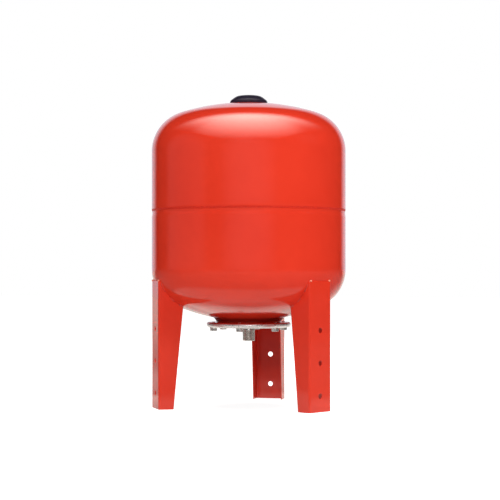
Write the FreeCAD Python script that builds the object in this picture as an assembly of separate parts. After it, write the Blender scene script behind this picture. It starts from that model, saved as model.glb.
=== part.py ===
import FreeCAD, Part
import math
import os

# A 50 litre expansion tank on three folded legs. The water port points down under the tank,
# and the air valve stands on top under a black cover. Millimetres, +Z up. The origin is on
# the floor, on the tank's axis. The rear leg stands on the +Y side.

os.makedirs("parts", exist_ok=True)

# Tank shell: two drawn halves, the lower one with its rim joggled into the upper one
tank_r = 200.0
shell_t = 1.5
seam_z = 404.0
upper_straight = 121.7
lower_straight = 120.7
knuckle_r = 82.0
upper_crown_r = 480.0
lower_crown_r = 370.0
rim_overlap = 12.0
joggle_rise = 3.5
slip_gap = 0.1
seam_bead_half = 2.0
seam_bead_height = 1.0

# Neck collar under the tank, a turned ring with a tapped bolting lip
neck_r = 67.0
neck_wall = 2.5
neck_length = 8.0
neck_inside = 4.0
neck_bend = 1.5
neck_bare = 0.5
neck_mouth = 3.0
lip_t = 5.5
lip_margin = 2.9
lip_edge = 0.6

# Bolts of the flange, screwed into the lip from below
bolt_count = 6
bolt_r = 4.0
bolt_inset = 8.0
bolt_hole_gap = 0.5
thread_gap = 0.1
hex_flats = 13.0
bolt_head_h = 5.3
bolt_tip = 0.8
bolt_chamfer = 1.0
washer_r = 7.5
washer_t = 1.6

# Counter-flange, a pressed dish with a curled rim, and the water nipple in it
dish_t = 2.5
dish_curl = 4.5
dish_gap = 0.5
nipple_r = 13.22
nipple_thread = 21.0
nipple_length = 28.0
nipple_bore_r = 10.0
nipple_relief = 0.2
nipple_hole_gap = 0.13
nipple_head_r = 17.0
nipple_head_t = 2.5
nipple_chamfer = 1.2
nipple_weld_leg = 2.4

# Rubber bladder clamped between the collar's lip and the counter-flange
bladder_t = 2.0
bladder_lip_t = 2.9
bladder_lip_w = 12.0
bladder_gap = 0.3
bladder_bolt_gap = 1.0
bladder_neck = 22.0
bladder_r = 150.0
bladder_cone = 85.0
bladder_headroom = 60.0
bladder_neck_bend = 45.0
bladder_belly_bend = 90.0
bladder_top_bend = 125.0

# Folded sheet legs
leg_count = 3
leg_inset = 2.5
leg_w = 64.0
leg_t = 2.0
leg_bend = 2.0
leg_depth_foot = 31.0
leg_depth_slope = 0.0966
leg_hole_r = 5.25
leg_hole_low = 32.0
leg_hole_pitch = 65.0
leg_hole_count = 3
weld_gap = 0.15
stitch_r = 2.2
stitch_length = 8.0
stitch_count = 3
stitch_margin = 10.0
tack_r = 2.6

# Air valve on the crown: a brass stem clamped by a nut, with a spring-loaded core in it
valve_seat_r = 16.0
stem_body_r = 5.0
stem_thread_r = 3.85
stem_height = 11.4
stem_collar_gap = 0.5
stem_chamfer = 0.4
stem_head_r = 8.5
stem_head_t = 2.5
stem_tail = 12.0
stem_tail_r = 4.0
grommet_t = 2.0
valve_washer_r = 9.0
valve_washer_t = 1.0
valve_nut_flats = 14.0
valve_nut_h = 4.0
core_bore_r = 2.65
core_outlet_r = 1.5
core_gap = 0.1
core_top_drop = 2.2
core_length = 9.5
core_wall = 0.75
core_lid = 2.6
core_floor = 1.3
core_seal_t = 1.8
core_seal_depth = 0.35
core_seal_drop = 5.0
pin_r = 0.6
pin_gap = 0.12
pin_top_drop = 0.8
pin_collar_r = 1.45
pin_collar_t = 0.6
pin_collar_gap = 0.3
pin_cup_r = 1.9
pin_cup_t = 1.2
pin_seal_t = 0.8
pin_travel = 1.2
pin_room = 1.0
spring_wire_r = 0.15
spring_coil_r = 1.1
spring_turns = 5

# Black cover over the air valve
cover_r = 39.0
cover_t = 1.8
cover_height = 16.9
cover_flat_r = 25.0
cover_side = 5.8
cover_side_bend = 8.0
cover_top_bend = 22.0
cover_seat_gap = 0.3
cover_grip_gap = 0.12
cover_socket_t = 1.5
cover_socket_gap = 0.3

# Shared helper sizes
hex_chamfer_angle = math.radians(30.0)
hex_face_share = 0.96
hex_turning_share = 1.2
fillet_hollow = 0.42
axis_z = FreeCAD.Vector(0, 0, 1)
origin = FreeCAD.Vector(0, 0, 0)


def at(r, z):
    """A point of a turned outline: distance from the axis, and height."""
    return FreeCAD.Vector(r, 0, z)


def rounded_edges(points, radii):
    """Edges of a closed outline whose corners are rounded by the given radii."""
    count = len(points)
    corners = []
    for i in range(count):
        here = points[i]
        to_last = (points[i - 1] - here).normalize()
        to_next = (points[(i + 1) % count] - here).normalize()
        if radii[i] == 0:
            corners.append((here, None, here))
            continue
        half = to_last.getAngle(to_next) / 2
        reach = radii[i] / math.tan(half)
        inward = (to_last + to_next).normalize()
        middle = here + inward * (radii[i] / math.sin(half) - radii[i])
        corners.append((here + to_last * reach, middle, here + to_next * reach))
    edges = []
    for i in range(count):
        start, middle, end = corners[i]
        if middle is not None:
            edges.append(Part.Arc(start, middle, end).toShape())
        following = corners[(i + 1) % count][0]
        if end.distanceToPoint(following) > 1e-6:
            edges.append(Part.makeLine(end, following))
    return edges


def turned(edges):
    """The solid that a closed outline sweeps round the tank's axis."""
    solid = Part.Face(Part.Wire(edges)).revolve(origin, axis_z, 360)
    if solid.Volume < 0:
        solid.reverse()
    return solid


def turned_corners(corners):
    """A turned solid from corners (r, z) or (r, z, fillet)."""
    points = [at(c[0], c[1]) for c in corners]
    radii = [c[2] if len(c) > 2 else 0 for c in corners]
    return turned(rounded_edges(points, radii))


def ring(outer_r, inner_r, low_z, height):
    """A flat ring on the tank's axis."""
    corners = [(inner_r, low_z), (outer_r, low_z), (outer_r, low_z + height)]
    return turned_corners(corners + [(inner_r, low_z + height)])


def around(solid, count):
    """Equal copies of a solid round the tank's axis, the first one where it is."""
    copies = []
    for i in range(count):
        copy = solid.copy()
        copy.rotate(origin, axis_z, 360.0 * i / count)
        copies.append(copy)
    return copies


def hexagon(flats, height):
    """A hexagonal prism on the axis, its flats facing along Y."""
    corner_r = flats / 2 / math.cos(math.pi / 6)
    corners = []
    for i in range(7):
        turn = math.pi / 3 * i
        corners.append(FreeCAD.Vector(corner_r * math.cos(turn), corner_r * math.sin(turn), 0))
    face = Part.Face(Part.makePolygon(corners))
    return face.extrude(FreeCAD.Vector(0, 0, height))


def chamfered_hexagon(flats, height, both_ends):
    """A hexagonal nut or head whose corners are turned off at 30 degrees."""
    outer_r = flats / 2 * hex_turning_share
    face_r = flats / 2 * hex_face_share
    drop = (outer_r - face_r) * math.tan(hex_chamfer_angle)
    low = [(0, 0), (face_r, 0), (outer_r, drop)]
    high = [(outer_r, height), (0, height)]
    if both_ends:
        high = [(outer_r, height - drop), (face_r, height), (0, height)]
    return hexagon(flats, height).common(turned_corners(low + high))


def save(node, solids):
    """Write one node's solids to its file."""
    shape = solids[0] if len(solids) == 1 else Part.makeCompound(solids)
    shape.exportStep("parts/" + node + ".step")
    volume = sum(s.Volume for s in solids)
    print("%-16s %2d solid  %10.1f mm3  valid %s" % (node, len(solids), volume, shape.isValid()))


# The dome of each half: a knuckle arc and a crown arc that meet tangent

knuckle_centre_r = tank_r - knuckle_r
upper_tangent_z = seam_z + upper_straight
lower_tangent_z = seam_z - lower_straight


def crown_rise(crown_r):
    """Distance from the tangent plane to the centre of the crown arc."""
    return math.sqrt((crown_r - knuckle_r) ** 2 - knuckle_centre_r ** 2)


def crown_z(r, tangent_z, side, crown_r, inset=0.0):
    """Height of the dome at a radius inside its crown; side is 1 upwards, -1 downwards."""
    centre_z = tangent_z - side * crown_rise(crown_r)
    return centre_z + side * math.sqrt((crown_r - inset) ** 2 - r ** 2)


def dome_edges(tangent_z, side, crown_r, inset, end_r):
    """Knuckle and crown edges from the tangent plane in to end_r, inset from the outside."""
    centre_z = tangent_z - side * crown_rise(crown_r)
    meet = math.atan2(crown_rise(crown_r), knuckle_centre_r)

    def on_knuckle(turn):
        small = knuckle_r - inset
        return at(knuckle_centre_r + small * math.cos(turn), tangent_z + side * small * math.sin(turn))

    def on_crown(r):
        return at(r, centre_z + side * math.sqrt((crown_r - inset) ** 2 - r ** 2))

    meet_r = (crown_r - inset) * math.cos(meet)
    knuckle = Part.Arc(on_knuckle(0), on_knuckle(meet / 2), on_knuckle(meet)).toShape()
    crown = Part.Arc(on_crown(meet_r), on_crown((meet_r + end_r) / 2), on_crown(end_r)).toShape()
    return [knuckle, crown]


def lower_z(r):
    """Outside height of the lower dome."""
    return crown_z(r, lower_tangent_z, -1, lower_crown_r)


# Heights of the seam, the valve seat and the flange joint

upper_rim_z = seam_z + seam_bead_half
shoulder_z = seam_z - seam_bead_half
joggle_r = tank_r - shell_t - slip_gap
seat_z = crown_z(valve_seat_r, upper_tangent_z, 1, upper_crown_r)

neck_top_z = lower_z(neck_r)
lip_top_z = neck_top_z - neck_length
lip_z = lip_top_z - lip_t
bolt_circle_r = neck_r + bolt_inset
lip_r = bolt_circle_r + bolt_r + lip_margin
collar_weld_leg = neck_length - neck_bend - neck_bare
dish_floor_z = lip_z - bladder_lip_t
dish_bottom_z = dish_floor_z - dish_t


def bolt_holes(gap, low_z, high_z):
    """Cutters for the ring of bolt holes, one of them on the +Y side."""
    place = FreeCAD.Vector(0, bolt_circle_r, low_z)
    hole = Part.makeCylinder(bolt_r + gap, high_z - low_z, place)
    return around(hole, bolt_count)


def make_upper_shell():
    """Upper half: skirt, dome and a flat seat with the hole of the air valve."""
    hole_r = stem_body_r + slip_gap
    outer = dome_edges(upper_tangent_z, 1, upper_crown_r, 0, valve_seat_r)
    inner_end_r = valve_seat_r - shell_t / 2
    inner = dome_edges(upper_tangent_z, 1, upper_crown_r, shell_t, inner_end_r)
    inner_seat_z = crown_z(inner_end_r, upper_tangent_z, 1, upper_crown_r, shell_t)
    edges = [Part.makeLine(at(tank_r, upper_rim_z), at(tank_r, upper_tangent_z))] + outer
    edges.append(Part.makeLine(at(valve_seat_r, seat_z), at(hole_r, seat_z)))
    edges.append(Part.makeLine(at(hole_r, seat_z), at(hole_r, inner_seat_z)))
    edges.append(Part.makeLine(at(hole_r, inner_seat_z), at(inner_end_r, inner_seat_z)))
    edges += inner[::-1]
    inside = tank_r - shell_t
    edges.append(Part.makeLine(at(inside, upper_tangent_z), at(inside, upper_rim_z)))
    edges.append(Part.makeLine(at(inside, upper_rim_z), at(tank_r, upper_rim_z)))
    return turned(Part.__sortEdges__(edges)), inner_seat_z


def make_lower_shell():
    """Lower half: joggled rim, skirt and a dome open at the neck."""
    hole_r = neck_r + slip_gap
    outer = dome_edges(lower_tangent_z, -1, lower_crown_r, 0, hole_r)
    inner = dome_edges(lower_tangent_z, -1, lower_crown_r, shell_t, hole_r)
    inner_end = at(hole_r, crown_z(hole_r, lower_tangent_z, -1, lower_crown_r, shell_t))
    rim = [(tank_r, lower_tangent_z), (tank_r, shoulder_z)]
    rim += [(joggle_r, shoulder_z + joggle_rise), (joggle_r, upper_rim_z + rim_overlap)]
    rim += [(joggle_r - shell_t, upper_rim_z + rim_overlap)]
    rim += [(joggle_r - shell_t, shoulder_z + joggle_rise), (tank_r - shell_t, shoulder_z)]
    rim += [(tank_r - shell_t, lower_tangent_z)]
    edges = outer + inner + [Part.makeLine(at(hole_r, lower_z(hole_r)), inner_end)]
    for here, following in zip(rim, rim[1:]):
        edges.append(Part.makeLine(at(*here), at(*following)))
    return turned(Part.__sortEdges__(edges))


def make_girth_weld():
    """Weld bead that fills the groove at the seam and stands a little proud."""
    crest = Part.Arc(at(tank_r, shoulder_z), at(tank_r + seam_bead_height, seam_z),
                     at(tank_r, upper_rim_z)).toShape()
    root_z = shoulder_z + joggle_rise
    back = [at(tank_r, upper_rim_z), at(tank_r - shell_t, upper_rim_z), at(joggle_r, root_z)]
    back.append(at(tank_r, shoulder_z))
    lines = [Part.makeLine(a, b) for a, b in zip(back, back[1:])]
    return turned([crest] + lines)


def make_lower_form(gap):
    """Filled outside form of the lower half grown by a gap, to trim what is welded to it."""
    edges = dome_edges(lower_tangent_z, -1, lower_crown_r, -gap, neck_r)
    low_z = crown_z(neck_r, lower_tangent_z, -1, lower_crown_r, -gap)
    side_r = tank_r + gap
    corners = [at(side_r, lower_tangent_z), at(side_r, seam_z), at(0, seam_z)]
    corners += [at(0, low_z), at(neck_r, low_z)]
    edges += [Part.makeLine(a, b) for a, b in zip(corners, corners[1:])]
    return turned(Part.__sortEdges__(edges))


def make_neck_collar():
    """Turned ring: a short neck inside the shell's opening and a lip with tapped holes."""
    inner_r = neck_r - neck_wall
    top_z = neck_top_z + shell_t + neck_inside
    corners = [(inner_r, top_z), (inner_r, lip_z, neck_mouth), (lip_r, lip_z)]
    corners += [(lip_r, lip_top_z, lip_edge), (neck_r, lip_top_z, neck_bend), (neck_r, top_z)]
    return turned_corners(corners).cut(bolt_holes(thread_gap, lip_z - 1, lip_top_z + 1))


def make_collar_weld():
    """Fillet weld between the collar's neck and the dome."""
    outer_r = neck_r + collar_weld_leg
    low = at(neck_r, neck_top_z - collar_weld_leg)
    middle_r = neck_r + collar_weld_leg * fillet_hollow
    middle = at(middle_r, lower_z(middle_r) - collar_weld_leg * fillet_hollow)
    crest = Part.Arc(at(outer_r, lower_z(outer_r)), middle, low).toShape()
    half_r = (neck_r + outer_r) / 2
    seat = Part.Arc(at(neck_r, neck_top_z), at(half_r, lower_z(half_r)),
                    at(outer_r, lower_z(outer_r))).toShape()
    return turned([crest, Part.makeLine(low, at(neck_r, neck_top_z)), seat])


def make_counter_flange():
    """Pressed dish with a curled rim round the lip, bolt holes and the nipple's hole."""
    hole_r = nipple_r + nipple_hole_gap
    curl_end_r = lip_r + dish_gap
    rim_r = curl_end_r + dish_curl
    corner = lip_top_z - dish_bottom_z - dish_curl
    inside_r = rim_r - dish_t
    curl_z = lip_top_z - dish_t
    corners = [(hole_r, dish_bottom_z), (rim_r, dish_bottom_z, corner)]
    corners += [(rim_r, lip_top_z, dish_curl), (curl_end_r, lip_top_z), (curl_end_r, curl_z)]
    corners += [(inside_r, curl_z, dish_curl - dish_t), (inside_r, dish_floor_z, corner - dish_t)]
    corners += [(hole_r, dish_floor_z)]
    holes = bolt_holes(bolt_hole_gap, dish_bottom_z - 1, dish_floor_z + 1)
    return turned_corners(corners).cut(holes)


def make_nipple():
    """Threaded water nipple with a head inside the dish; the thread is a plain cylinder."""
    end_z = dish_bottom_z - nipple_length
    thread_low = end_z + nipple_chamfer
    thread_high = thread_low + nipple_thread
    plain_r = nipple_r - nipple_relief
    corners = [(nipple_bore_r, end_z), (nipple_r - nipple_chamfer, end_z)]
    corners += [(nipple_r, thread_low), (nipple_r, thread_high), (plain_r, thread_high)]
    corners += [(plain_r, dish_floor_z), (nipple_head_r, dish_floor_z)]
    corners += [(nipple_head_r, dish_floor_z + nipple_head_t)]
    corners += [(nipple_bore_r, dish_floor_z + nipple_head_t)]
    return turned_corners(corners)


def make_nipple_weld():
    """Fillet weld between the nipple and the underside of the dish."""
    inner_r = nipple_r - nipple_relief
    outer_r = inner_r + nipple_weld_leg
    low_z = dish_bottom_z - nipple_weld_leg
    hollow = nipple_weld_leg * fillet_hollow
    middle = at(inner_r + hollow, dish_bottom_z - hollow)
    crest = Part.Arc(at(outer_r, dish_bottom_z), middle, at(inner_r, low_z)).toShape()
    wall = Part.makeLine(at(inner_r, low_z), at(inner_r, dish_bottom_z))
    seat = Part.makeLine(at(inner_r, dish_bottom_z), at(outer_r, dish_bottom_z))
    return turned([crest, wall, seat])


def make_washers():
    """Plain washers under the bolt heads."""
    washer = ring(washer_r, bolt_r + bolt_hole_gap / 2, 0, washer_t)
    washer.translate(FreeCAD.Vector(0, bolt_circle_r, dish_bottom_z - washer_t))
    return around(washer, bolt_count)


def make_bolts():
    """Hexagon bolts from below, through the dish and screwed into the lip."""
    under_head_z = dish_bottom_z - washer_t
    head_z = under_head_z - bolt_head_h
    shank_end = lip_top_z + bolt_tip
    head = chamfered_hexagon(hex_flats, bolt_head_h, False)
    shank = [(0, bolt_head_h / 2), (bolt_r, bolt_head_h / 2)]
    shank += [(bolt_r, shank_end - head_z - bolt_chamfer)]
    shank += [(bolt_r - bolt_chamfer, shank_end - head_z), (0, shank_end - head_z)]
    bolt = head.fuse(turned_corners(shank)).removeSplitter()
    bolt.translate(FreeCAD.Vector(0, bolt_circle_r, head_z))
    return around(bolt, bolt_count)


def make_bladder():
    """Moulded rubber bladder: clamped lip, neck, pear-shaped belly and closed top."""
    neck_out = neck_r - neck_wall - bladder_gap
    neck_in = neck_out - bladder_t
    lip_out = bolt_circle_r - bolt_r - bladder_bolt_gap
    lip_in = lip_out - bladder_lip_w
    neck_end = neck_top_z + bladder_neck
    belly_z = neck_end + bladder_cone
    top_z = seat_z - bladder_headroom
    bend = neck_mouth + bladder_gap
    corners = [(lip_in, dish_floor_z), (lip_out, dish_floor_z), (lip_out, lip_z)]
    corners += [(neck_out, lip_z, bend), (neck_out, neck_end, bladder_neck_bend)]
    corners += [(bladder_r, belly_z, bladder_belly_bend), (bladder_r, top_z, bladder_top_bend)]
    corners += [(0, top_z), (0, top_z - bladder_t)]
    inside = bladder_r - bladder_t
    corners += [(inside, top_z - bladder_t, bladder_top_bend - bladder_t)]
    corners += [(inside, belly_z + bladder_t / 2, bladder_belly_bend - bladder_t)]
    corners += [(neck_in, neck_end + bladder_t / 2, bladder_neck_bend + bladder_t)]
    corners += [(neck_in, lip_z + bend)]
    return turned_corners(corners)


# Legs

leg_face_r = tank_r - leg_inset


def leg_depth(z):
    """Depth of a leg's side flanges at a height."""
    return leg_depth_foot + leg_depth_slope * z


def leg_top_height():
    """Height at which the middle of the leg's web meets the dome."""
    run = leg_face_r - leg_t / 2 - knuckle_centre_r
    return lower_tangent_z - math.sqrt(knuckle_r ** 2 - run ** 2)


leg_top_z = leg_top_height()


def make_leg():
    """Leg on the +Y side: a folded channel, cut to the dome, with three holes."""
    half = leg_w / 2
    back = leg_face_r - leg_depth(leg_top_z)
    inner_y = leg_face_r - leg_t
    inner_x = half - leg_t
    points = [(-half, back), (-half, leg_face_r), (half, leg_face_r), (half, back)]
    points += [(inner_x, back), (inner_x, inner_y), (-inner_x, inner_y), (-inner_x, back)]
    outer_bend = leg_bend + leg_t
    radii = [0, outer_bend, outer_bend, 0, 0, leg_bend, leg_bend, 0]
    edges = rounded_edges([FreeCAD.Vector(x, y, 0) for x, y in points], radii)
    channel = Part.Face(Part.Wire(edges)).extrude(FreeCAD.Vector(0, 0, leg_top_z))
    slant = [(back - 1, -1), (leg_face_r - leg_depth(-1), -1)]
    slant += [(leg_face_r - leg_depth(leg_top_z), leg_top_z), (back - 1, leg_top_z)]
    corners = [FreeCAD.Vector(-leg_w, y, z) for y, z in slant + slant[:1]]
    wedge = Part.Face(Part.makePolygon(corners)).extrude(FreeCAD.Vector(2 * leg_w, 0, 0))
    cutters = [wedge]
    for i in range(leg_hole_count):
        place = FreeCAD.Vector(0, inner_y - 1, leg_hole_low + i * leg_hole_pitch)
        cutters.append(Part.makeCylinder(leg_hole_r, leg_t + 2, place, FreeCAD.Vector(0, 1, 0)))
    return channel.cut(cutters).cut(make_lower_form(weld_gap))


def dome_height(r):
    """Outside height of the lower dome at any radius, on its crown or its knuckle."""
    meet = math.atan2(crown_rise(lower_crown_r), knuckle_centre_r)
    if r < lower_crown_r * math.cos(meet):
        return lower_z(r)
    return lower_tangent_z - math.sqrt(knuckle_r ** 2 - (r - knuckle_centre_r) ** 2)


def dome_point(x, y):
    """The point of the lower dome straight above or below a place on the floor."""
    return FreeCAD.Vector(x, y, dome_height(math.hypot(x, y)))


def dome_normal(point):
    """Outward direction of the lower dome's knuckle at one of its points."""
    r = math.hypot(point.x, point.y)
    rise = point.z - lower_tangent_z
    run = r - knuckle_centre_r
    return FreeCAD.Vector(point.x / r * run, point.y / r * run, rise).normalize()


def behind(point, normal):
    """A block that fills the space behind a plane, to trim a weld to its seat."""
    size = 4 * stitch_length
    block = Part.makeBox(size, size, size, FreeCAD.Vector(-size / 2, -size / 2, -size))
    block.Placement = FreeCAD.Placement(point, FreeCAD.Rotation(axis_z, normal))
    return block


def stitch(side, y):
    """Round-ended bead in the corner between a side flange and the dome."""
    face_x = side * leg_w / 2
    middle = dome_point(face_x, y)
    normal = dome_normal(middle)
    across = FreeCAD.Vector(side, 0, 0)
    along = normal.cross(across).normalize()
    half = stitch_length / 2
    points = [at(0, -half - stitch_r), at(stitch_r, -half - stitch_r), at(stitch_r, half + stitch_r)]
    points.append(at(0, half + stitch_r))
    rod = turned(rounded_edges(points, [0, stitch_r * 0.98, stitch_r * 0.98, 0]))
    rod.Placement = FreeCAD.Placement(middle, FreeCAD.Rotation(axis_z, along))
    trimmed = rod.cut([behind(middle, across), behind(middle, normal)])
    return trimmed.Solids[0]


def tack(side):
    """Ball of weld on the leg's top edge, against the dome."""
    x = side * (leg_w / 2 - leg_bend - tack_r)
    place = FreeCAD.Vector(x, leg_face_r - leg_t / 2, leg_top_z)
    seat = dome_point(x, place.y)
    ball = Part.makeSphere(tack_r, place)
    return ball.cut([behind(place, axis_z), behind(seat, dome_normal(seat))]).Solids[0]


def make_leg_welds():
    """Stitch welds where a leg's side flanges meet the dome, and a tack at each top corner."""
    low_y = leg_face_r - leg_depth(leg_top_z) + stitch_margin
    high_y = leg_face_r - stitch_margin
    welds = []
    for side in (-1, 1):
        for i in range(stitch_count):
            welds.append(stitch(side, low_y + (high_y - low_y) * i / (stitch_count - 1)))
        welds.append(tack(side))
    return welds


# Air valve

stem_top_z = seat_z + stem_height
nut_seat_z = seat_z + valve_washer_t
core_top_z = stem_top_z - core_top_drop
core_end_z = core_top_z - core_length
pin_seal_z = core_end_z - pin_seal_t
cup_z = pin_seal_z - pin_cup_t
core_room_z = cup_z - pin_travel - pin_room
collar_top_z = core_top_z - core_lid - pin_collar_gap
spring_low_z = core_end_z + core_floor


def make_valve_stem(inner_seat_z):
    """Brass stem: head inside the shell, clamped body, threaded tip and stepped bore."""
    head_top = inner_seat_z - grommet_t
    head_low = head_top - stem_head_t
    tail_z = head_low - stem_tail
    step_z = nut_seat_z + valve_nut_h + stem_collar_gap
    corners = [(core_outlet_r, tail_z), (stem_tail_r, tail_z), (stem_tail_r, head_low)]
    corners += [(stem_head_r, head_low), (stem_head_r, head_top), (stem_body_r, head_top)]
    corners += [(stem_body_r, step_z), (stem_thread_r, step_z)]
    corners += [(stem_thread_r, stem_top_z - stem_chamfer)]
    corners += [(stem_thread_r - stem_chamfer, stem_top_z), (core_bore_r, stem_top_z)]
    corners += [(core_bore_r, core_room_z), (core_outlet_r, core_room_z - 1)]
    return turned_corners(corners)


def make_valve_nut():
    """Nut that clamps the stem to the crown."""
    nut = chamfered_hexagon(valve_nut_flats, valve_nut_h, True)
    nut = nut.cut(Part.makeCylinder(stem_body_r + thread_gap, valve_nut_h))
    nut.translate(FreeCAD.Vector(0, 0, nut_seat_z))
    return nut


def make_core_body():
    """Core barrel screwed into the stem, with a lid the pin runs in and a seal groove."""
    outer_r = core_bore_r - core_gap
    room_r = outer_r - core_wall
    guide_r = pin_r + pin_gap
    groove_top = core_top_z - core_seal_drop
    groove_low = groove_top - core_seal_t
    groove_r = core_bore_r - core_seal_depth
    corners = [(guide_r, core_end_z), (outer_r, core_end_z), (outer_r, groove_low)]
    corners += [(groove_r, groove_low), (groove_r, groove_top), (outer_r, groove_top)]
    corners += [(outer_r, core_top_z), (guide_r, core_top_z), (guide_r, core_top_z - core_lid)]
    corners += [(room_r, core_top_z - core_lid), (room_r, spring_low_z)]
    corners += [(guide_r, spring_low_z)]
    return turned_corners(corners)


def make_core_seal():
    """Sealing ring round the core barrel."""
    low = core_top_z - core_seal_drop - core_seal_t
    return ring(core_bore_r, core_bore_r - core_seal_depth, low, core_seal_t)


def make_core_pin():
    """Core pin with its spring collar and the cup that holds the seal."""
    collar_low = collar_top_z - pin_collar_t
    corners = [(0, cup_z), (pin_cup_r, cup_z), (pin_cup_r, pin_seal_z), (pin_r, pin_seal_z)]
    corners += [(pin_r, collar_low), (pin_collar_r, collar_low), (pin_collar_r, collar_top_z)]
    corners += [(pin_r, collar_top_z), (pin_r, stem_top_z - pin_top_drop)]
    corners += [(0, stem_top_z - pin_top_drop)]
    return turned_corners(corners)


def make_core_spring():
    """Coil spring between the floor of the core and the pin's collar, as tilted half turns."""
    low = spring_low_z + spring_wire_r
    high = collar_top_z - pin_collar_t - spring_wire_r
    rise = (high - low) / (2 * spring_turns)
    spring = None
    for i in range(2 * spring_turns):
        side = 1 if i % 2 == 0 else -1
        start = FreeCAD.Vector(side * spring_coil_r, 0, low + i * rise)
        end = FreeCAD.Vector(-side * spring_coil_r, 0, low + (i + 1) * rise)
        centre = (start + end) * 0.5
        outward = (start - centre).normalize()
        turn_axis = outward.cross(FreeCAD.Vector(0, side, 0)).normalize()
        wire = Part.Wire(Part.makeCircle(spring_wire_r, start, FreeCAD.Vector(0, 1, 0)))
        half_turn = Part.Face(wire).revolve(centre, turn_axis, 180)
        spring = half_turn if spring is None else spring.fuse(half_turn)
    return spring.removeSplitter().Solids[0]


def make_valve_cover():
    """Moulded cover: short skirt, sloping shoulder, flat top and a socket that grips the nut."""
    nut_corner_r = valve_nut_flats / 2 / math.cos(math.pi / 6)
    socket_in = nut_corner_r + cover_grip_gap
    socket_out = socket_in + cover_socket_t
    inside_r = cover_r - cover_t
    rim_z = crown_z(inside_r, upper_tangent_z, 1, upper_crown_r) + cover_seat_gap
    top_z = rim_z + cover_height
    side_z = rim_z + cover_side
    slope = math.atan2(cover_r - cover_flat_r, top_z - side_z)
    side_drop = cover_t * math.tan(slope / 2)
    flat_step = cover_t * math.tan((math.pi / 2 - slope) / 2)
    inner_top = top_z - cover_t
    corners = [(0, top_z), (cover_flat_r, top_z, cover_top_bend)]
    corners += [(cover_r, side_z, cover_side_bend), (cover_r, rim_z), (inside_r, rim_z)]
    corners += [(inside_r, side_z - side_drop, cover_side_bend - cover_t)]
    corners += [(cover_flat_r - flat_step, inner_top, cover_top_bend - cover_t)]
    corners += [(socket_out, inner_top), (socket_out, nut_seat_z + cover_socket_gap)]
    corners += [(socket_in, nut_seat_z + cover_socket_gap), (socket_in, inner_top), (0, inner_top)]
    return turned_corners(corners)


upper_shell, inner_seat_z = make_upper_shell()
rear_leg = make_leg()
rear_welds = make_leg_welds()

save("upper_shell", [upper_shell])
save("lower_shell", [make_lower_shell()])
save("girth_weld", [make_girth_weld()])
save("neck_collar", [make_neck_collar()])
save("collar_weld", [make_collar_weld()])
save("counter_flange", [make_counter_flange()])
save("water_nipple", [make_nipple()])
save("nipple_weld", [make_nipple_weld()])
save("flange_washers", make_washers())
save("flange_bolts", make_bolts())
save("bladder", [make_bladder()])

leg_names = ["rear_leg", "left_leg", "right_leg"]
for name, leg in zip(leg_names, around(rear_leg, leg_count)):
    save(name, [leg])
weld_sets = [around(weld, leg_count) for weld in rear_welds]
for i, name in enumerate(leg_names):
    save(name + "_welds", [copies[i] for copies in weld_sets])

save("valve_stem", [make_valve_stem(inner_seat_z)])
save("valve_grommet", [ring(stem_head_r, stem_body_r + slip_gap, inner_seat_z - grommet_t, grommet_t)])
save("valve_washer", [ring(valve_washer_r, stem_body_r + slip_gap, seat_z, valve_washer_t)])
save("valve_nut", [make_valve_nut()])
save("core_body", [make_core_body()])
save("core_seal", [make_core_seal()])
save("core_pin", [make_core_pin()])
save("core_pin_seal", [ring(pin_cup_r, pin_r, pin_seal_z, pin_seal_t)])
save("core_spring", [make_core_spring()])
save("valve_cover", [make_valve_cover()])
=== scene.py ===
import random
from math import acos, atan2, ceil, cos, degrees, hypot, pi, radians, sin, sqrt, tan

import bmesh
import bpy
from mathutils import Matrix, Vector


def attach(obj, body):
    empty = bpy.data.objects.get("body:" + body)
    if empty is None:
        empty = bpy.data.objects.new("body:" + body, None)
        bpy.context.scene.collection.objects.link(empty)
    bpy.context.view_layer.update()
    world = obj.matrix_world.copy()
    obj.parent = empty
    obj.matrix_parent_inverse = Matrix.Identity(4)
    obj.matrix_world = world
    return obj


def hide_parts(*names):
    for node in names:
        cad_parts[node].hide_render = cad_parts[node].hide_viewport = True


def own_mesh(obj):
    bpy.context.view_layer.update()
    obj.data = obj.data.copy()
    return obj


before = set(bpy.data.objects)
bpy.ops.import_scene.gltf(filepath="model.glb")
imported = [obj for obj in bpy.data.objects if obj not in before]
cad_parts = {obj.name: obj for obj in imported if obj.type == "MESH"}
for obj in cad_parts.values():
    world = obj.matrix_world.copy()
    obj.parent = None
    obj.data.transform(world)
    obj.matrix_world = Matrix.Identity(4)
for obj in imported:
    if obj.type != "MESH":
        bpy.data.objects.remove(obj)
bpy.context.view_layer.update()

# Sizes of the tank in millimetres, as the frame has them
mm = 0.001
tank_r = 200.0
shell_t = 1.5
seam_z = 404.0
seam_half = 2.0
upper_bend_z = seam_z + 121.7
lower_bend_z = seam_z - 120.7
knuckle_r = 82.0
upper_crown_r = 480.0
lower_crown_r = 370.0
bend_r = tank_r - knuckle_r
lap_gap = 0.1
neck_r = 67.0
neck_wall = 2.5
neck_length = 8.0
lip_r = 81.9
lip_t = 5.5
bladder_gap = 2.9
dish_t = 2.5
bolt_count = 6
bolt_circle_r = 75.0
bolt_r = 4.0
nipple_r = 13.22
stub_length = 28.0
leg_w = 64.0
leg_t = 2.0
leg_face_r = 197.5
leg_bend_r = 4.0
foot_depth = 31.0
depth_gain = 0.0966
leg_holes = (32.0, 97.0, 162.0)
leg_hole_r = 5.25
seat_r = 16.0
inner_seat_r = seat_r - 0.75
valve_washer_t = 1.0
nut_flats = 14.0
nut_h = 4.0


def crown_rise(crown_r):
    """Distance from the plane where the dome starts to the centre of its crown arc."""
    return sqrt((crown_r - knuckle_r) ** 2 - bend_r ** 2)


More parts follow.
